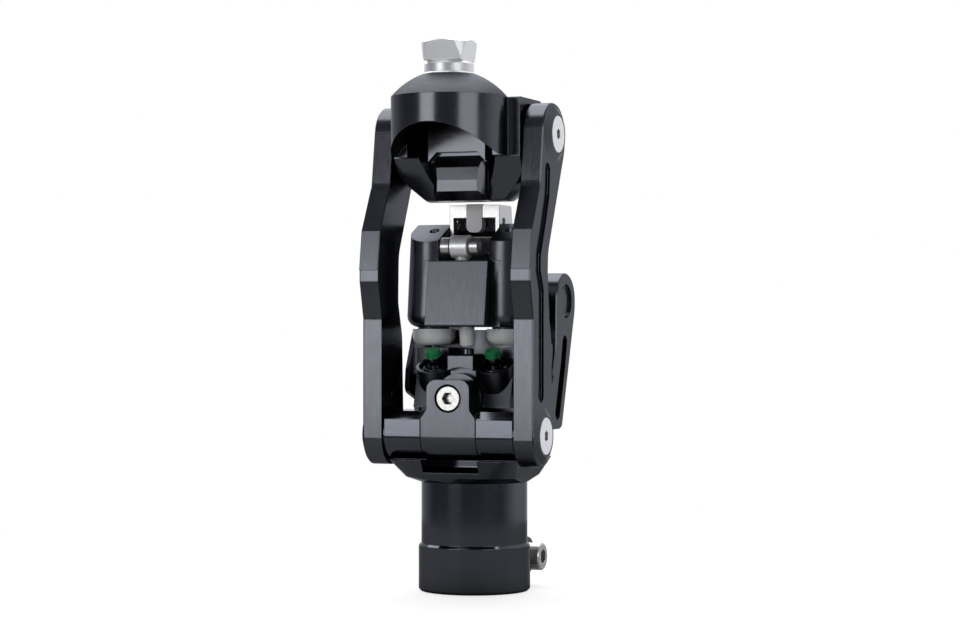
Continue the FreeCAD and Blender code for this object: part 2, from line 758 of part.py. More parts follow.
def make_rocker():
    low_radius = tower_radius + tower_flare
    top_radius = tower_radius - tower_narrow
    side_x = tower_x + low_radius
    tower = Part.makeCone(low_radius, top_radius, rocker_top_z - rocker_bottom_z,
                          Vector(tower_x, tower_y, rocker_bottom_z), axis_z)
    foot_edge = [edge for edge in tower.Edges if edge.Closed and edge.CenterOfMass.z < rocker_bottom_z + 1]
    tower = tower.makeFillet(tower_foot_fillet, foot_edge)
    wall = prism_y([(0, rocker_bottom_z, 0), (tower_x + low_radius - tower_foot_fillet, rocker_bottom_z, 0),
                    (side_x - 0.2, rocker_bottom_z + tower_foot_fillet, 0),
                    (tower_x + top_radius, rocker_top_z, 0), (0, rocker_top_z, 0)], tower_y, rocker_rear_y)
    core = box(0, tower_x, tower_y - tower_radius, rocker_rear_y, rocker_bottom_z, rocker_deck_z)
    nose = prism_x([(tower_y - tower_radius, rocker_bottom_z, 0), (nose_bottom_y, rocker_bottom_z, 1.0),
                    (nose_top_y, rocker_deck_z, 0.5), (tower_y - tower_radius, rocker_deck_z, 0)],
                   0, nose_half_width)
    hub = rod_x(hub_radius, rocker_y, rocker_z, 0, hub_half_width)
    web = box(0, hub_half_width, rocker_rear_y - 1, rocker_y,
              rocker_z - hub_radius + 1, rocker_z + hub_radius - 1)
    half = tower.fuse([wall, core, nose, hub, web])
    front_y = nose_bottom_y - 5
    sky_z = rocker_top_z + 20
    channel = box(-1, channel_half_width, front_y, rocker_rear_y + 1, rocker_deck_z, sky_z)
    slope = prism_x([(tower_y - tower_radius, rocker_top_z - tower_front_drop, 0),
                     (tower_y + 5, rocker_top_z, 0), (tower_y + 5, sky_z, 0),
                     (tower_y - tower_radius - 1, sky_z, 0),
                     (tower_y - tower_radius - 1, rocker_top_z - tower_front_drop - 0.4, 0)], -1, side_x + 1)
    rear_slope = prism_x([(lever_y + 2, rocker_top_z + 0.01, 0), (rocker_rear_y + 1, rocker_z + hub_radius, 0),
                          (rocker_rear_y + 1, sky_z, 0), (lever_y + 2, sky_z, 0)], -1, side_x + 1)
    half = half.cut([channel, slope, rear_slope])
    body = both_sides(half)
    pin_hole = rod_x(pin_bush_radius + seat_gap, rocker_y, rocker_z, -side_x, side_x)
    lever_hole = rod_x(lever_pin_radius + seat_gap, lever_y, lever_z, -side_x - 1, side_x + 1)
    screw_room = rod_z(foot_screw_radius + seat_gap, tower_x, tower_y, rocker_bottom_z - 1,
                       rocker_bottom_z + foot_screw_length)
    top_hole = rod_z(top_hole_radius, tower_x, tower_y, rocker_bottom_z, rocker_top_z + 1)
    tip_floor_z = tip_z + plunger_tip_length + 2
    tip_room = plunger_hole(plunger_tip_radius + 0.3).common(box(-reach, reach, -reach, reach, 0, tip_floor_z))
    return body.cut([pin_hole, lever_hole, both_sides(screw_room.fuse(top_hole)), tip_room,
                     plunger_hole(plunger_radius + running_gap)])


def make_foot():
    # A nylon foot with a full round at its lower rim.
    disc = rod_z(foot_radius, tower_x, tower_y, foot_bottom_z, foot_top_z)
    rims = [edge for edge in disc.Edges if edge.Closed]
    disc = disc.makeFillet(foot_round, [edge for edge in rims if edge.CenterOfMass.z < foot_bottom_z + 0.1])
    hole = rod_z(foot_screw_radius + seat_gap, tower_x, tower_y, foot_bottom_z + foot_floor - 1, foot_top_z + 1)
    return disc.cut(hole)


def make_foot_washers():
    disc = rod_z(foot_radius - foot_washer_inset, tower_x, tower_y, foot_top_z, rocker_bottom_z)
    hole = rod_z(foot_screw_radius + seat_gap, tower_x, tower_y, foot_top_z - 1, rocker_bottom_z + 1)
    washer = disc.cut(hole)
    return Part.makeCompound([washer, mirrored(washer)])


def make_foot_screws():
    low_z = foot_bottom_z + foot_floor - 0.8
    high_z = rocker_bottom_z + foot_screw_length - 2
    screw = rod_z(foot_screw_radius, tower_x, tower_y, low_z, high_z)
    screw = screw.cut(hex_prism(foot_screw_hex, 3, Vector(tower_x, tower_y, high_z - 2), axis_z))
    return Part.makeCompound([screw, mirrored(screw)])


def make_plunger():
    low = Vector(0, tip_y, tip_z) + plunger_axis * plunger_tip_length
    length = math.dist((eye_y, eye_z), (tip_y, tip_z)) - plunger_tip_length
    rod = Part.makeCylinder(plunger_radius, length, low, plunger_axis)
    eye = rod_x(eye_radius, eye_y, eye_z, -eye_half_width, eye_half_width)
    hole = rod_x(eye_pin_radius + eye_play, eye_y, eye_z, -eye_half_width - 1, eye_half_width + 1)
    return rod.fuse(eye).cut(hole)


def make_plunger_tip():
    return turned([(0, 0), (plunger_tip_radius - 0.7, 0), (plunger_tip_radius, 0.7),
                   (plunger_tip_radius, plunger_tip_length), (0, plunger_tip_length)],
                  Vector(0, tip_y, tip_z), plunger_axis)


def make_lever():
    inner_x = lever_half_width - lever_plate
    bottom_z = eye_z - lever_bridge_drop
    bridge_top_z = eye_z + lever_bridge_top
    side = prism_x([(lever_front_y, bottom_z, 0), (lever_front_y, beam_top_z, 0.5),
                    (lever_rear_y, beam_top_z, 1.0), (lever_y + lever_eye_radius, lever_z, 3),
                    (lever_y + lever_eye_radius - 1, lever_z - lever_eye_radius, 3),
                    (lever_y - lever_eye_radius, lever_z - lever_eye_radius, 1)], inner_x, lever_half_width)
    beam_bottom_z = beam_top_z - lever_beam_height
    window = prism_x([(lever_front_y + 3, bottom_z + 6, 1), (lever_front_y + 3, beam_bottom_z, 1),
                      (lever_y - 3, beam_bottom_z, 1)], inner_x - 1, lever_half_width + 1)
    side = side.cut(window)
    beam = box(0, lever_half_width, lever_front_y, lever_front_y + lever_beam_depth,
               beam_bottom_z, beam_top_z)
    bridge = box(0, lever_half_width, lever_front_y - 1.5, lever_front_y + 3, bottom_z, bridge_top_z)
    arm = prism_x([(eye_y, eye_z - lever_arm_radius, 0), (eye_y, eye_z + lever_arm_radius, 0),
                   (lever_front_y + 2, bridge_top_z, 0), (lever_front_y + 2, bottom_z, 0)],
                  lever_arm_inner, lever_arm_outer)
    arm_eye = rod_x(lever_arm_radius, eye_y, eye_z, lever_arm_inner, lever_arm_outer)
    body = both_sides(side.fuse([beam, bridge, arm, arm_eye]))
    pivot_hole = rod_x(lever_pin_radius + running_gap, lever_y, lever_z, -reach, reach)
    eye_hole = rod_x(eye_pin_radius + seat_gap, eye_y, eye_z, -reach, reach)
    notch = box(-shoe_half_width - seat_gap, shoe_half_width + seat_gap, shoe_front_y - 1,
                shoe_front_y + shoe_depth + seat_gap, beam_bottom_z - 0.1, beam_top_z + 5)
    return body.cut([pivot_hole, eye_hole, notch])


def make_shoe():
    # The nylon shoe stands in the beam's notch and meets the drum from below.
    low_z = eye_z + lever_bridge_top + shoe_foot_gap
    half = shoe_half_width
    return prism_y([(-half, low_z, 2.2), (half, low_z, 2.2), (half, shoe_top_z, 0.4), (-half, shoe_top_z, 0.4)],
                   shoe_front_y, shoe_front_y + shoe_depth)


def make_skirt():
    body = rod_z(skirt_radius, 0, skirt_y, skirt_bottom_z, seam_z)
    centre_z = seam_z - math.sqrt(dome_sphere ** 2 - skirt_radius ** 2)
    ball = Part.makeSphere(dome_sphere, Vector(0, skirt_y, centre_z))
    dome = rod_z(skirt_radius + 1, 0, skirt_y, seam_z - 0.01, dome_top_z).common(ball)
    arch = rod_y(arch_radius, 0, arch_top_z - arch_radius, skirt_y - skirt_radius - 1, skirt_y)
    return body.fuse(dome).cut(arch)


def make_drum():
    half = head_half_width
    low_z = knee_z - drum_radius
    limit = prism_x([(drum_front_low_y, low_z - 1, 0), (drum_front_low_y, low_z + 0.6, 0),
                     (head_front_y, skirt_bottom_z, 1.0), (head_front_y, head_top_z, 0.6),
                     (head_rear_y, head_top_z, 1.0), (head_rear_y + head_slope, head_top_z - head_slope, 0),
                     (head_rear_y + head_slope, low_z - 1, 0)], -half, half)
    middle = rod_x(drum_radius, knee_y, knee_z, -half, half)
    inner_x = half - drum_cone_length
    cone = turned([(0, 0), (drum_radius + 0.01, 0), (drum_cone_radius, drum_cone_length),
                   (0, drum_cone_length)], Vector(inner_x, knee_y, knee_z), axis_x)
    outer = rod_x(drum_radius + 1, knee_y, knee_z, inner_x, half + 1).cut(cone)
    low_half = box(-half - 1, half + 1, -reach, reach, low_z - 2, skirt_bottom_z)
    return middle.cut(both_sides(outer.common(low_half))).common(limit)


def make_nose():
    # The faceted nose under the pad, bevelled at both ends.
    front_y = nose_front_y
    bevel_y = front_y - 0.3
    low_z = knee_z - drum_radius
    profile = [(knee_y, pad_bottom_z, 0), (front_y + 2.4, pad_bottom_z, 0),
               (front_y + 0.3, skirt_bottom_z - 3.4, 0), (bevel_y, low_z + nose_facet_top, 0),
               (front_y, low_z + nose_facet_bottom, 0), (front_y + 4.2, low_z + 0.15, 0),
               (knee_y, low_z + 0.1, 0)]
    nose = prism_x(profile, -nose_half, nose_half)
    inner = nose_half - nose_bevel
    plan = rounded_wire([(-nose_half, 0, 0), (-nose_half, front_y + nose_bevel, 0), (-inner, bevel_y, 0),
                         (inner, bevel_y, 0), (nose_half, front_y + nose_bevel, 0), (nose_half, 0, 0)],
                        lambda p: Vector(p.x, p.y, low_z - 1))
    outer = -nose_half - 1
    top_cut = prism_y([(outer, pad_bottom_z + 1, 0), (outer, pad_bottom_z - pad_chamfer - 0.8, 0),
                       (-nose_half + pad_chamfer, pad_bottom_z + 0.01, 0)], front_y - 1, head_front_y + 4)
    nose = nose.common(Part.Face(plan).extrude(axis_z * drum_radius))
    return nose.cut(both_sides(top_cut))


def make_head():
    half = head_half_width
    hollow = rod_z(skirt_radius - skirt_wall, 0, skirt_y, knee_z - drum_radius - 5, ceiling_z)
    body = make_skirt().fuse(make_drum()).cut(hollow)
    pad = box(-pad_half_width, pad_half_width, head_front_y, knee_y - 3, skirt_bottom_z - 1.5, ceiling_z + 2)
    bush_hole = rod_x(bush_radius + seat_gap, knee_y, knee_z, -half - 1, half + 1)
    stud_hole = rod_z(stud_radius + seat_gap, 0, skirt_y, ceiling_z - 1, dome_top_z + 1)
    side = pad_half_width
    inner = side - pad_chamfer
    shoulder_z = pad_bottom_z - pad_chamfer
    recess = prism_y([(-side, skirt_bottom_z - 3, 0), (-side, shoulder_z, 0), (-inner, pad_bottom_z, 0),
                      (inner, pad_bottom_z, 0), (side, shoulder_z, 0), (side, skirt_bottom_z - 3, 0)],
                     head_front_y - 1, head_front_y + 2.6)
    return body.fuse(pad).cut([bush_hole, stud_hole, recess]).fuse(make_nose())


def make_pyramid():
    neck = pyramid_neck_radius
    cone = pyramid_neck_cone
    low = turned([(0, 0), (neck + pyramid_chamfer, 0), (neck, pyramid_chamfer),
                  (neck, pyramid_neck_height - cone), (neck - cone, pyramid_neck_height),
                  (0, pyramid_neck_height)], Vector(0, skirt_y, dome_top_z), axis_z)
    face_z = dome_top_z + pyramid_neck_height
    top_z = face_z + pyramid_height
    top = pyramid_top_width / 2
    bottom = top - pyramid_height * math.tan(math.radians(pyramid_taper))
    sections = []
    for half, z in ((bottom, face_z - 0.01), (top, top_z)):
        corners = [(-half, skirt_y - half, 0), (half, skirt_y - half, 0),
                   (half, skirt_y + half, 0), (-half, skirt_y + half, 0)]
        sections.append(rounded_wire(corners, lambda p, level=z: Vector(p.x, p.y, level)))
    block = Part.makeLoft(sections, True, True)
    turned_limit = turned([(0, face_z - 1), (pyramid_turned_radius, face_z - 1),
                           (pyramid_turned_radius, top_z - pyramid_chamfer),
                           (pyramid_turned_radius - 2 * pyramid_chamfer, top_z + 0.01), (0, top_z + 0.01)],
                          Vector(0, skirt_y, 0), axis_z)
    stud = rod_z(stud_radius, 0, skirt_y, dome_top_z - stud_length, dome_top_z + 0.5)
    return low.fuse([block.common(turned_limit), stud])


def main():
    os.makedirs("parts", exist_ok=True)
    bush_hole = axle_radius + running_gap
    base_bush = make_bush(block_half_width, stance_y, stance_z, bush_radius, bush_hole,
                          bush_flange_radius, bush_flange, bush_length)
    head_bush = make_bush(head_half_width, knee_y, knee_z, bush_radius, bush_hole,
                          bush_flange_radius, bush_flange, bush_length)
    pin_bush = make_bush(hub_half_width, rocker_y, rocker_z, pin_bush_radius, pin_radius + running_gap,
                         pin_bush_radius, 0.15, bush_length)
    eye_pin = rod_x(eye_pin_radius, eye_y, eye_z, -lever_arm_outer, lever_arm_outer)
    lever_pin_end = tower_x + tower_radius - 0.5
    lever_pin = rod_x(lever_pin_radius, lever_y, lever_z, -lever_pin_end, lever_pin_end)

    singles = {
        "base_housing": make_base_housing(),
        "bearing_cap": make_bearing_cap(),
        "bearing_cap_screw": make_bearing_cap_screw(),
        "carrier_block": make_carrier(),
        "carrier_screws": make_carrier_screws(),
        "plunger_striker": make_striker(),
        "clamp_screw": make_clamp_screw(),
        "clamp_nut": make_clamp_nut(),
        "rocker_pin": make_rocker_pin(),
        "pin_retaining_rings": make_pin_rings(),
        "lower_axle": make_axle(stance_y, stance_z),
        "lower_axle_screws": make_end_screws(stance_y, stance_z),
        "upper_axle": make_axle(knee_y, knee_z),
        "upper_axle_screws": make_end_screws(knee_y, knee_z),
        "rocker_block": make_rocker(),
        "foot_washers": make_foot_washers(),
        "foot_screws": make_foot_screws(),
        "lever_pin": lever_pin,
        "plunger_rod": make_plunger(),
        "plunger_tip": make_plunger_tip(),
        "plunger_eye_pin": eye_pin,
        "brake_lever": make_lever(),
        "brake_shoe": make_shoe(),
        "head_housing": make_head(),
        "pyramid": make_pyramid(),
    }
    pairs = {
        "side_plate": make_side_plate(),
        "rear_arm": make_rear_arm(),
        "lower_bush": base_bush,
        "head_bush": head_bush,
        "rocker_bush": pin_bush,
        "bumper_post": make_bumper_post(),
        "stance_bumper": make_bumper(),
        "rocker_foot": make_foot(),
    }
    for name, shape in singles.items():
        save(name, shape)
    for name, shape in pairs.items():
        save(name + "_left", shape)
        save(name + "_right", mirrored(shape))
    save("rear_arm_screws_left", make_arm_screws(1))
    save("rear_arm_screws_right", make_arm_screws(-1))


main()
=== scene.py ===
import bpy, math
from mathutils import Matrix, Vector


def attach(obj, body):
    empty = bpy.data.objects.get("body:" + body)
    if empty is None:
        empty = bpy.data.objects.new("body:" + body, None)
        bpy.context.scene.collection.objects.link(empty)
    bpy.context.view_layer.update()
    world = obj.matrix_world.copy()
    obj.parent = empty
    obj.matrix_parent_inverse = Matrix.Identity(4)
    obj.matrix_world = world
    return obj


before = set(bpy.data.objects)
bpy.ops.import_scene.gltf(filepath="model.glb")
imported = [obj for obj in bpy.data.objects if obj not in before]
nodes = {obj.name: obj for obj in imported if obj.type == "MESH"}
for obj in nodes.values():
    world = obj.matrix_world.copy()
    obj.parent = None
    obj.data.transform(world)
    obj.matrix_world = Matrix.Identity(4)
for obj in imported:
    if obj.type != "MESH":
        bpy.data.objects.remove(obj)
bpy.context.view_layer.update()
print("frame loaded:", len(nodes), "nodes")


def deselectAll():
    bpy.ops.object.select_all(action="DESELECT")


# a level camera; the distance and the height are those of its aim on the knee, in metres
shot = {"azimuth": 21.0, "distance": 0.846, "sideways": 0.002, "height": 0.0966, "lens": 88.5, "sensor": 36}


def addCamera():
    turn = math.radians(shot["azimuth"])
    rightX, rightY = math.cos(turn), math.sin(turn)
    x = rightX * shot["sideways"] + rightY * shot["distance"]
    y = rightY * shot["sideways"] - rightX * shot["distance"]
    bpy.ops.object.camera_add(location=(x, y, shot["height"]), rotation=(math.pi / 2, 0, turn))
    camera = bpy.context.object
    camera.data.sensor_width = shot["sensor"]
    camera.data.lens = shot["lens"]
    camera.data.clip_start = 0.01
    bpy.context.scene.camera = camera


addCamera()
print("camera placed")


def newGroup(name, inputs, outputs):
    # an empty shader group with its sockets, for an effect that several materials share
    group = bpy.data.node_groups.new(name, "ShaderNodeTree")
    for label, kind, value in inputs:
        socket = group.interface.new_socket(label, in_out="INPUT", socket_type=kind)
        socket.default_value = value
    for label, kind in outputs:
        group.interface.new_socket(label, in_out="OUTPUT", socket_type=kind)
    return group, group.nodes.new("NodeGroupInput"), group.nodes.new("NodeGroupOutput")


edgeLook = {"samples": 6, "grain": 900.0}


def makeEdgeCatch():
    # rounded-looking edges with a painted highlight along them: a lighter tone on the dark finishes, a
    # painted dark outline on the polished lever
    inputs = [("Width", "NodeSocketFloat", 0.0004), ("Amount", "NodeSocketFloat", 1.0)]
    outputs = [("Mask", "NodeSocketFloat"), ("Normal", "NodeSocketVector")]
    group, source, target = newGroup("paintedEdgeTone", inputs, outputs)
    make, link = group.nodes.new, group.links.new
    bevel = make("ShaderNodeBevel")
    bevel.samples = edgeLook["samples"]
    geometry = make("ShaderNodeNewGeometry")
    dot = make("ShaderNodeVectorMath")
    dot.operation = "DOT_PRODUCT"
    invert = make("ShaderNodeMath")
    invert.operation = "SUBTRACT"
    invert.inputs[0].default_value = 1.0
    grain = make("ShaderNodeTexNoise")
    grain.inputs["Scale"].default_value = edgeLook["grain"]
    coords = make("ShaderNodeTexCoord")
    strength = make("ShaderNodeMath")
    strength.operation = "MULTIPLY"
    broken = make("ShaderNodeMath")
    broken.operation = "MULTIPLY"
    clamp = make("ShaderNodeClamp")
    link(source.outputs["Width"], bevel.inputs["Radius"])
    link(bevel.outputs["Normal"], dot.inputs[0])
    link(geometry.outputs["Normal"], dot.inputs[1])
    link(dot.outputs["Value"], invert.inputs[1])
    link(invert.outputs[0], strength.inputs[0])
    link(source.outputs["Amount"], strength.inputs[1])
    link(coords.outputs["Object"], grain.inputs["Vector"])
    link(strength.outputs[0], broken.inputs[0])
    link(grain.outputs["Fac"], broken.inputs[1])
    link(broken.outputs[0], clamp.inputs["Value"])
    link(clamp.outputs[0], target.inputs["Mask"])
    link(bevel.outputs["Normal"], target.inputs["Normal"])
    return group


lineLook = {"detail": 4.0, "patchScale": 70.0, "patchDetail": 3.0, "patchShare": 0.45, "from": (0.3, 0.7)}


def makeTurningLines():
    # fine cutter marks, stretched along one direction, with a slow unevenness on top
    inputs = [("Stretch", "NodeSocketVector", (1.0, 1.0, 1.0)), ("Scale", "NodeSocketFloat", 900.0),
              ("Low", "NodeSocketFloat", 0.2), ("High", "NodeSocketFloat", 0.4)]
    outputs = [("Lines", "NodeSocketFloat"), ("Roughness", "NodeSocketFloat"), ("Patches", "NodeSocketFloat")]
    group, source, target = newGroup("turningLines", inputs, outputs)
    make, link = group.nodes.new, group.links.new
    coords = make("ShaderNodeTexCoord")
    scaled = make("ShaderNodeVectorMath")
    scaled.operation = "MULTIPLY"
    lines = make("ShaderNodeTexNoise")
    lines.inputs["Detail"].default_value = lineLook["detail"]
    patches = make("ShaderNodeTexNoise")
    patches.inputs["Scale"].default_value = lineLook["patchScale"]
    patches.inputs["Detail"].default_value = lineLook["patchDetail"]
    blendBoth = make("ShaderNodeMix")
    blendBoth.data_type = "FLOAT"
    blendBoth.inputs["Factor"].default_value = lineLook["patchShare"]
    spread = make("ShaderNodeMapRange")
    spread.inputs["From Min"].default_value, spread.inputs["From Max"].default_value = lineLook["from"]
    link(coords.outputs["Object"], scaled.inputs[0])
    link(source.outputs["Stretch"], scaled.inputs[1])
    link(scaled.outputs[0], lines.inputs["Vector"])
    link(source.outputs["Scale"], lines.inputs["Scale"])
    link(coords.outputs["Object"], patches.inputs["Vector"])
    link(lines.outputs["Fac"], blendBoth.inputs["A"])
    link(patches.outputs["Fac"], blendBoth.inputs["B"])
    link(blendBoth.outputs["Result"], spread.inputs["Value"])
    link(source.outputs["Low"], spread.inputs["To Min"])
    link(source.outputs["High"], spread.inputs["To Max"])
    link(lines.outputs["Fac"], target.inputs["Lines"])
    link(spread.outputs["Result"], target.inputs["Roughness"])
    link(patches.outputs["Fac"], target.inputs["Patches"])
    return group


pocketLook = {"reach": 0.002, "samples": 8, "open": 0.75, "closed": 0.45}


def makePocketShade():
    # painted shade: darkens sockets and other hollows by how closed in they are, where little light gets in
    inputs = [("Reach", "NodeSocketFloat", pocketLook["reach"])]
    group, source, target = newGroup("pocketShade", inputs, [("Mask", "NodeSocketFloat")])
    hollow = group.nodes.new("ShaderNodeAmbientOcclusion")
    hollow.samples = pocketLook["samples"]
    deep = group.nodes.new("ShaderNodeMapRange")
    deep.inputs["From Min"].default_value = pocketLook["open"]
    deep.inputs["From Max"].default_value = pocketLook["closed"]
    group.links.new(source.outputs["Reach"], hollow.inputs["Distance"])
    group.links.new(hollow.outputs["AO"], deep.inputs["Value"])
    group.links.new(deep.outputs["Result"], target.inputs["Mask"])
    return group


paintedEdgeTone = makeEdgeCatch()
pocketShade = makePocketShade()
turningLines = makeTurningLines()

# colour, lighter patches and edge tone (a painted highlight, darker on the polished lever), then how the
# surface is worked; grazing is the tint of edge-on light
finishes = {
    "blackPlate": {  # flat milled and anodised plates
        "colour": (0.080, 0.083, 0.092), "light": (0.098, 0.102, 0.116), "edge": (0.20, 0.21, 0.25),
        "metallic": 1.0, "rough": (0.16, 0.26), "stretch": (1.0, 1.0, 0.15), "scale": 1100.0, "bump": 0.05,
        "edgeWidth": 0.0003, "edgeAmount": 2.0, "grazing": 0.55,
    },
    "blackTurned": {  # turned, smooth and anodised
        "colour": (0.076, 0.080, 0.092), "light": (0.095, 0.100, 0.116), "edge": (0.19, 0.20, 0.24),
        "metallic": 1.0, "rough": (0.07, 0.13), "stretch": (0.12, 0.12, 1.0), "scale": 1300.0, "bump": 0.05,
        "edgeWidth": 0.0003, "edgeAmount": 2.0, "grazing": 0.55,
    },
    "blackHead": {  # turned skirt below, blasted dome above
        "colour": (0.080, 0.083, 0.092), "light": (0.098, 0.102, 0.114), "edge": (0.19, 0.20, 0.24),
        "metallic": 1.0, "rough": (0.15, 0.24), "stretch": (0.15, 0.15, 1.0), "scale": 1200.0, "bump": 0.05,
        "edgeWidth": 0.0003, "edgeAmount": 2.0, "grazing": 0.55, "satinAbove": 0.1743,
    },
    "blackMilled": {  # milled blocks, duller
        "colour": (0.096, 0.100, 0.112), "light": (0.118, 0.122, 0.138), "edge": (0.17, 0.18, 0.21),
        "metallic": 1.0, "rough": (0.27, 0.37), "stretch": (1.0, 1.0, 0.15), "scale": 1000.0, "bump": 0.05,
        "edgeWidth": 0.0003, "edgeAmount": 2.0, "grazing": 0.45,
    },
    "brightScrew": {  # socket screws, nut and washers
        "colour": (0.50, 0.50, 0.48), "light": (0.62, 0.62, 0.60), "edge": (0.8, 0.8, 0.78),
        "metallic": 0.85, "rough": (0.20, 0.34), "stretch": (1.0, 1.0, 1.0), "scale": 900.0, "bump": 0.1,
        "edgeWidth": 0.0002, "edgeAmount": 2.0, "grazing": 1.0, "pocket": (0.04, 0.04, 0.04),
    },
    "endDisc": {  # screws in the ends of the axles
        "colour": (0.80, 0.80, 0.80), "light": (0.88, 0.88, 0.88), "edge": (0.92, 0.92, 0.92),
        "metallic": 0.8, "rough": (0.35, 0.5), "stretch": (1.0, 1.0, 1.0), "scale": 900.0, "bump": 0.08,
        "edgeWidth": 0.0002, "edgeAmount": 1.0, "grazing": 1.0, "pocket": (0.10, 0.10, 0.10),
    },
    "polishedSteel": {  # the brake lever
        "colour": (0.46, 0.46, 0.455), "light": (0.53, 0.53, 0.52), "edge": (0.22, 0.22, 0.22),
        "metallic": 0.95, "rough": (0.26, 0.36), "stretch": (1.0, 0.3, 1.0), "scale": 900.0, "bump": 0.06,
        "edgeWidth": 0.0003, "edgeAmount": 1.5, "grazing": 1.0,
    },
    "shellShadeSteel": {  # the sheet inside the lever, darkened with painted shade
        "colour": (0.16, 0.16, 0.17), "light": (0.22, 0.22, 0.23), "edge": (0.6, 0.6, 0.6), "metallic": 1.0,
        "rough": (0.16, 0.26), "stretch": (1.0, 0.3, 1.0), "scale": 900.0, "bump": 0.06,
        "edgeWidth": 0.0002, "edgeAmount": 0.8, "grazing": 1.0,
    },
    "satinSteel": {  # pyramid and plunger
        "colour": (0.78, 0.78, 0.78), "light": (0.86, 0.86, 0.86), "edge": (0.95, 0.95, 0.95),
        "metallic": 0.55, "rough": (0.30, 0.42), "stretch": (1.0, 0.3, 1.0), "scale": 900.0, "bump": 0.06,
        "edgeWidth": 0.0003, "edgeAmount": 1.5, "grazing": 1.0,
    },
    "groundSteel": {  # axles, pins and rings
        "colour": (0.30, 0.30, 0.29), "light": (0.42, 0.42, 0.41), "edge": (0.6, 0.6, 0.58),
        "metallic": 1.0, "rough": (0.2, 0.34), "stretch": (0.2, 1.0, 1.0), "scale": 1200.0, "bump": 0.08,
        "edgeWidth": 0.0002, "edgeAmount": 1.5, "grazing": 1.0,
    },
}
fineRelief = {"metal": 0.00005, "plastic": 0.0001}


def makeMetal(name, values):
    material = bpy.data.materials.new(name)
    material.use_nodes = True
    tree = material.node_tree
    make, link = tree.nodes.new, tree.links.new
    shader = tree.nodes["Principled BSDF"]
    lines = make("ShaderNodeGroup")
    lines.node_tree = turningLines
    lines.inputs["Stretch"].default_value = values["stretch"]
    lines.inputs["Scale"].default_value = values["scale"]
    lines.inputs["Low"].default_value = values["rough"][0]
    lines.inputs["High"].default_value = values["rough"][1]
    edges = make("ShaderNodeGroup")
    edges.node_tree = paintedEdgeTone
    edges.inputs["Width"].default_value = values["edgeWidth"]
    edges.inputs["Amount"].default_value = values["edgeAmount"]
    body = make("ShaderNodeMix")
    body.data_type = "RGBA"
    body.inputs["A"].default_value = (*values["colour"], 1)
    body.inputs["B"].default_value = (*values["light"], 1)
    # painted highlight: the edge tone laid along the rounded edges
    edgeToneMix = make("ShaderNodeMix")
    edgeToneMix.data_type = "RGBA"
    edgeToneMix.inputs["B"].default_value = (*values["edge"], 1)
    bump = make("ShaderNodeBump")
    bump.inputs["Strength"].default_value = values["bump"]
    bump.inputs["Distance"].default_value = fineRelief["metal"]
    link(lines.outputs["Patches"], body.inputs["Factor"])
    link(body.outputs["Result"], edgeToneMix.inputs["A"])
    link(edges.outputs["Mask"], edgeToneMix.inputs["Factor"])
    # painted shade: the pocket colour darkens sockets and hollows through the occlusion mask
    if "pocket" in values:
        pockets = make("ShaderNodeGroup")
        pockets.node_tree = pocketShade
        pocketShadeMix = make("ShaderNodeMix")
        pocketShadeMix.data_type = "RGBA"
        pocketShadeMix.inputs["B"].default_value = (*values["pocket"], 1)
        link(pockets.outputs["Mask"], pocketShadeMix.inputs["Factor"])
        link(edgeToneMix.outputs["Result"], pocketShadeMix.inputs["A"])
        link(pocketShadeMix.outputs["Result"], shader.inputs["Base Color"])
    else:
        link(edgeToneMix.outputs["Result"], shader.inputs["Base Color"])
    if "satinAbove" in values:
        addSatin(tree, values["satinAbove"], lines.outputs["Roughness"], shader.inputs["Roughness"])
    else:
        link(lines.outputs["Roughness"], shader.inputs["Roughness"])
    link(lines.outputs["Lines"], bump.inputs["Height"])
    link(edges.outputs["Normal"], bump.inputs["Normal"])
    link(bump.outputs["Normal"], shader.inputs["Normal"])
    shader.inputs["Metallic"].default_value = values["metallic"]
    shader.inputs["Specular Tint"].default_value = (*[values["grazing"]] * 3, 1)
    return material


satin = {"below": 0.00005, "above": 0.00015, "extra": 0.30}


def addSatin(tree, height, plain, target):
    # the dome above the seam is blasted, the turned wall below it is not
    coords = tree.nodes.new("ShaderNodeTexCoord")
    split = tree.nodes.new("ShaderNodeSeparateXYZ")
    step = tree.nodes.new("ShaderNodeMapRange")
    step.inputs["From Min"].default_value = height - satin["below"]
    step.inputs["From Max"].default_value = height + satin["above"]
    step.inputs["To Max"].default_value = satin["extra"]
    total = tree.nodes.new("ShaderNodeMath")
    total.operation = "ADD"
    tree.links.new(coords.outputs["Object"], split.inputs[0])
    tree.links.new(split.outputs["Z"], step.inputs["Value"])
    tree.links.new(step.outputs["Result"], total.inputs[0])
    tree.links.new(plain, total.inputs[1])
    tree.links.new(total.outputs[0], target)


looks = {name: makeMetal(name, values) for name, values in finishes.items()}

plastics = {
    "whiteNylon": {  # the feet and the plunger's tip
        "colour": (0.74, 0.76, 0.75), "light": (0.84, 0.85, 0.84), "rough": (0.34, 0.5), "bump": 0.12,
        "scatter": 0.0006,
    },
    "greyNylon": {  # the brake shoe
        "colour": (0.80, 0.80, 0.80), "light": (0.88, 0.88, 0.88), "rough": (0.36, 0.5), "bump": 0.12,
        "scatter": 0.0004,
    },
    "greenPad": {  # the elastomer bumpers
        "colour": (0.0, 0.20, 0.055), "light": (0.01, 0.29, 0.09), "rough": (0.3, 0.45), "bump": 0.15,
        "scatter": 0.0004,
    },
}
mouldedLook = {"scale": 700.0, "subsurface": 0.15}


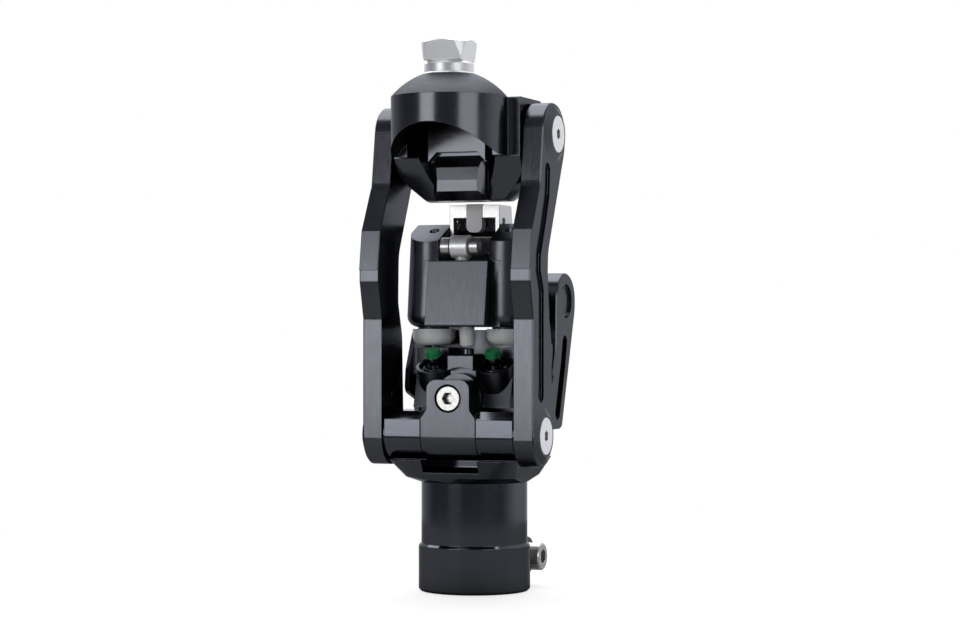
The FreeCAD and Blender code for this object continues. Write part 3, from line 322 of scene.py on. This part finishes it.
def makePlastic(name, values):
    material = bpy.data.materials.new(name)
    material.use_nodes = True
    tree = material.node_tree
    make, link = tree.nodes.new, tree.links.new
    shader = tree.nodes["Principled BSDF"]
    lines = make("ShaderNodeGroup")
    lines.node_tree = turningLines
    lines.inputs["Scale"].default_value = mouldedLook["scale"]
    lines.inputs["Low"].default_value = values["rough"][0]
    lines.inputs["High"].default_value = values["rough"][1]
    body = make("ShaderNodeMix")
    body.data_type = "RGBA"
    body.inputs["A"].default_value = (*values["colour"], 1)
    body.inputs["B"].default_value = (*values["light"], 1)
    bump = make("ShaderNodeBump")
    bump.inputs["Strength"].default_value = values["bump"]
    bump.inputs["Distance"].default_value = fineRelief["plastic"]
    link(lines.outputs["Patches"], body.inputs["Factor"])
    link(body.outputs["Result"], shader.inputs["Base Color"])
    link(lines.outputs["Roughness"], shader.inputs["Roughness"])
    link(lines.outputs["Lines"], bump.inputs["Height"])
    link(bump.outputs["Normal"], shader.inputs["Normal"])
    shader.inputs["Subsurface Weight"].default_value = mouldedLook["subsurface"]
    shader.inputs["Subsurface Scale"].default_value = values["scatter"]
    return material


for name, values in plastics.items():
    looks[name] = makePlastic(name, values)

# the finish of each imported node, left and right alike; a node that isn't named here is ground steel
finishOf = {
    "base_housing": "blackTurned", "bearing_cap": "blackPlate", "carrier_block": "blackMilled",
    "rear_arm": "blackPlate", "side_plate": "blackPlate", "rocker_block": "blackMilled",
    "head_housing": "blackHead", "bumper_post": "blackTurned", "plunger_striker": "blackTurned",
    "lower_bush": "blackTurned", "head_bush": "blackTurned", "rocker_pin": "blackPlate",
    "pyramid": "satinSteel", "plunger_rod": "satinSteel", "plunger_eye_pin": "satinSteel",
    "brake_lever": "polishedSteel", "lower_axle_screws": "endDisc", "upper_axle_screws": "endDisc",
    "bearing_cap_screw": "brightScrew", "clamp_screw": "brightScrew", "clamp_nut": "brightScrew",
    "carrier_screws": "brightScrew", "rear_arm_screws": "brightScrew", "foot_screws": "brightScrew",
    "foot_washers": "brightScrew", "rocker_foot": "whiteNylon", "plunger_tip": "whiteNylon",
    "brake_shoe": "greyNylon", "stance_bumper": "greenPad",
}
for name, node in nodes.items():
    plain = name.removesuffix("_left").removesuffix("_right")
    for slot in node.material_slots:
        slot.material = looks[finishOf.get(plain, "groundSteel")]
print("materials on", len(nodes), "nodes")


edgeBevel = {"segments": 2, "sharperThan": 40}


def finishPiece(shape, piece):
    # small bevels on the sharp edges, then the name, the finish and the body that it moves with
    bpy.ops.object.mode_set(mode="OBJECT")
    bevel = shape.modifiers.new("softEdges", "BEVEL")
    bevel.width = piece["bevel"]
    bevel.segments = edgeBevel["segments"]
    bevel.angle_limit = math.radians(edgeBevel["sharperThan"])
    bpy.ops.object.modifier_apply(modifier="softEdges")
    shape.name = piece["name"]
    shape.data.materials.append(looks[piece["finish"]])
    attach(shape, piece["rides"])


def makeCutBlock(piece):
    # a block cut to shape by planes; each cut is a (y, z) point and the (y, z) way that its face looks
    deselectAll()
    low, high = Vector(piece["low"]), Vector(piece["high"])
    bpy.ops.mesh.primitive_cube_add(size=1, location=(low + high) / 2)
    block = bpy.context.object
    block.scale = high - low
    bpy.ops.object.transform_apply(location=True, rotation=True, scale=True)
    bpy.ops.object.mode_set(mode="EDIT")
    for (y, z), (faceY, faceZ) in piece["cuts"]:
        bpy.ops.mesh.select_all(action="SELECT")
        bpy.ops.mesh.bisect(plane_co=(0, y, z), plane_no=(0, faceY, faceZ), use_fill=True, clear_outer=True)
    bpy.ops.mesh.select_all(action="SELECT")
    bpy.ops.mesh.normals_make_consistent(inside=False)
    finishPiece(block, piece)


# the steep front facet of each side plate
plateFacetLeft = {
    "name": "plate_facet_left", "rides": "frame", "finish": "blackPlate", "slot": "black_anodised",
    "bevel": 0.0004, "low": (0.02474, -0.0299, 0.1140), "high": (0.03201, -0.0187, 0.1434),
    "cuts": (((-0.02980, 0.1142), (-0.989, 0.147)),
             ((-0.02775, 0.1280), (-0.880, 0.474)),
             ((-0.02870, 0.1160), (0.940, -0.341))),
}
plateFacetRight = {
    **plateFacetLeft, "name": "plate_facet_right",
    "low": (-0.03201, -0.0299, 0.1140), "high": (-0.02474, -0.0187, 0.1434),
}
# a low ridge on the rocker's deck, under the brake lever
deckRidge = {
    "name": "deck_ridge", "rides": "rocker", "finish": "blackMilled", "slot": "black_anodised",
    "bevel": 0.0002, "low": (-0.0098, 0.0052, 0.1171), "high": (0.0098, 0.0089, 0.1206),
    "cuts": (((0.0052, 0.1171), (-0.825, 0.566)),),
}
for piece in (plateFacetLeft, plateFacetRight, deckRidge):
    makeCutBlock(piece)

# a bent sheet between the cheeks of the brake lever, dark with painted shade: its top edge, its bend and its
# foot as (y, z)
leverShell = {
    "name": "lever_shell", "rides": "lever", "finish": "shellShadeSteel", "slot": "polished_steel",
    "bevel": 0.0002, "top": (0.00345, 0.13335), "bend": (0.0065, 0.1266), "foot": (0.0069, 0.1209),
    "width": 0.0161, "thick": 0.0009,
}


def makeLeverShell(piece):
    deselectAll()
    (topY, topZ), (bendY, bendZ), (footY, footZ) = piece["top"], piece["bend"], piece["foot"]
    rise = math.atan2(topZ - bendZ, topY - bendY)
    middle = (0, (topY + bendY) / 2, (topZ + bendZ) / 2)
    bpy.ops.mesh.primitive_plane_add(size=1, location=middle, rotation=(rise, 0, 0))
    sheet = bpy.context.object
    sheet.scale = (piece["width"], math.dist(piece["top"], piece["bend"]), 1)
    bpy.ops.object.transform_apply(location=True, rotation=True, scale=True)
    for vertex in sheet.data.vertices:  # the lower edge, from which the foot is drawn out
        vertex.select = vertex.co.z < middle[2]
    for edge in sheet.data.edges:
        edge.select = all(sheet.data.vertices[i].select for i in edge.vertices)
    for face in sheet.data.polygons:
        face.select = False
    bpy.ops.object.mode_set(mode="EDIT")
    drawn = (0, footY - bendY, footZ - bendZ)
    bpy.ops.mesh.extrude_region_move(TRANSFORM_OT_translate={"value": drawn})
    bpy.ops.object.mode_set(mode="OBJECT")
    wall = sheet.modifiers.new("wall", "SOLIDIFY")
    wall.thickness = piece["thick"]
    wall.offset = -1
    bpy.ops.object.modifier_apply(modifier="wall")
    bpy.ops.object.mode_set(mode="EDIT")
    bpy.ops.mesh.select_all(action="SELECT")
    bpy.ops.mesh.normals_make_consistent(inside=False)
    finishPiece(sheet, piece)


makeLeverShell(leverShell)
print("plate facets, deck ridge and lever shell made")


# pale paper that keeps the shadow near the knee and is plain white further out; lift is what the camera adds
floorDisc = {
    "core": 0.3, "radius": 4.0, "drop": 0.0002, "colour": (0.30, 0.30, 0.30), "roughness": 0.9,
    "lift": 0.74, "plainFrom": 0.12, "plainTo": 0.40,
}


def makeFloor():
    deselectAll()
    place = (0, 0, -floorDisc["drop"])
    bpy.ops.mesh.primitive_circle_add(vertices=96, radius=floorDisc["core"], fill_type="NGON", location=place)
    floor = bpy.context.object
    floor.name = "studioFloor"
    bpy.ops.object.mode_set(mode="EDIT")
    bpy.ops.mesh.select_all(action="SELECT")
    bpy.ops.mesh.inset(thickness=floorDisc["core"] - floorDisc["radius"], use_even_offset=False)
    bpy.ops.object.mode_set(mode="OBJECT")
    bpy.ops.object.transform_apply(location=True)
    material = bpy.data.materials.new("floorPaper")
    material.use_nodes = True
    tree = material.node_tree
    make, link = tree.nodes.new, tree.links.new
    shader = tree.nodes["Principled BSDF"]
    shader.inputs["Base Color"].default_value = (*floorDisc["colour"], 1)
    shader.inputs["Roughness"].default_value = floorDisc["roughness"]
    shader.inputs["Specular IOR Level"].default_value = 0.0
    coords = make("ShaderNodeTexCoord")
    length = make("ShaderNodeVectorMath")
    length.operation = "LENGTH"
    far = make("ShaderNodeMapRange")
    far.inputs["From Min"].default_value = floorDisc["plainFrom"]
    far.inputs["From Max"].default_value = floorDisc["plainTo"]
    path = make("ShaderNodeLightPath")
    lifted = make("ShaderNodeMath")
    lifted.operation = "MULTIPLY"
    lifted.inputs[1].default_value = floorDisc["lift"]
    seen = make("ShaderNodeMath")
    seen.operation = "MULTIPLY"
    paper = make("ShaderNodeEmission")
    both = make("ShaderNodeAddShader")
    plain = make("ShaderNodeEmission")
    mix = make("ShaderNodeMixShader")
    link(coords.outputs["Object"], length.inputs[0])
    link(length.outputs["Value"], far.inputs["Value"])
    link(path.outputs["Is Camera Ray"], lifted.inputs[0])
    link(lifted.outputs[0], paper.inputs["Strength"])
    link(shader.outputs["BSDF"], both.inputs[0])
    link(paper.outputs["Emission"], both.inputs[1])
    link(far.outputs["Result"], seen.inputs[0])
    link(path.outputs["Is Camera Ray"], seen.inputs[1])
    link(seen.outputs[0], mix.inputs["Fac"])
    link(both.outputs["Shader"], mix.inputs[1])
    link(plain.outputs["Emission"], mix.inputs[2])
    link(mix.outputs["Shader"], tree.nodes["Material Output"].inputs["Surface"])
    floor.data.materials.append(material)


makeFloor()

# soft panels, in metres and watts; aimHigh is the greatest height that they are aimed at
aimHigh = 0.235
lamps = {
    "leftPanel": {"place": (-0.3225, -0.80, 0.1975), "size": (0.42, 0.39), "power": 1.5},
    "rightPanel": {"place": (0.70, -0.43, 0.24), "size": (0.56, 0.44), "power": 1.45},
    "topPanel": {"place": (-0.25, 0.35, 1.1), "size": (1.3, 1.5), "power": 19.0},
}


def addLamps():
    for name, values in lamps.items():
        deselectAll()
        bpy.ops.object.light_add(type="AREA", location=values["place"])
        lamp = bpy.context.object
        lamp.name = name
        lamp.data.shape = "RECTANGLE"
        lamp.data.size, lamp.data.size_y = values["size"]
        lamp.data.energy = values["power"]
        aim = Vector((0, 0, min(values["place"][2], aimHigh))) - lamp.location
        lamp.rotation_euler = aim.to_track_quat("-Z", "Y").to_euler()


addLamps()

# a dim room on the camera's side and a pale screen behind the knee; the camera sees the screen as white
air = {"dim": (0.15, 0.16, 0.18), "behind": (0.88, 0.90, 0.94), "turnsPale": (-0.25, 0.75), "screen": 1.0}


def makeAir():
    world = bpy.data.worlds.new("studioAir")
    bpy.context.scene.world = world
    world.use_nodes = True
    tree = world.node_tree
    make, link = tree.nodes.new, tree.links.new
    coords = make("ShaderNodeTexCoord")
    split = make("ShaderNodeSeparateXYZ")
    ramp = make("ShaderNodeMapRange")
    ramp.interpolation_type = "SMOOTHSTEP"
    ramp.inputs["From Min"].default_value, ramp.inputs["From Max"].default_value = air["turnsPale"]
    blend = make("ShaderNodeMix")
    blend.data_type = "RGBA"
    blend.inputs["A"].default_value = (*air["dim"], 1)
    blend.inputs["B"].default_value = (*air["behind"], 1)
    room = tree.nodes["Background"]
    screen = make("ShaderNodeBackground")
    screen.inputs["Color"].default_value = (1, 1, 1, 1)
    screen.inputs["Strength"].default_value = air["screen"]
    mix = make("ShaderNodeMixShader")
    path = make("ShaderNodeLightPath")
    link(coords.outputs["Generated"], split.inputs[0])
    link(split.outputs["Y"], ramp.inputs["Value"])
    link(ramp.outputs["Result"], blend.inputs["Factor"])
    link(blend.outputs["Result"], room.inputs["Color"])
    link(path.outputs["Is Camera Ray"], mix.inputs["Fac"])
    link(room.outputs["Background"], mix.inputs[1])
    link(screen.outputs["Background"], mix.inputs[2])
    link(mix.outputs["Shader"], tree.nodes["World Output"].inputs["Surface"])


makeAir()
bpy.context.scene.view_settings.view_transform = "Standard"
print("floor, lamps and air set")
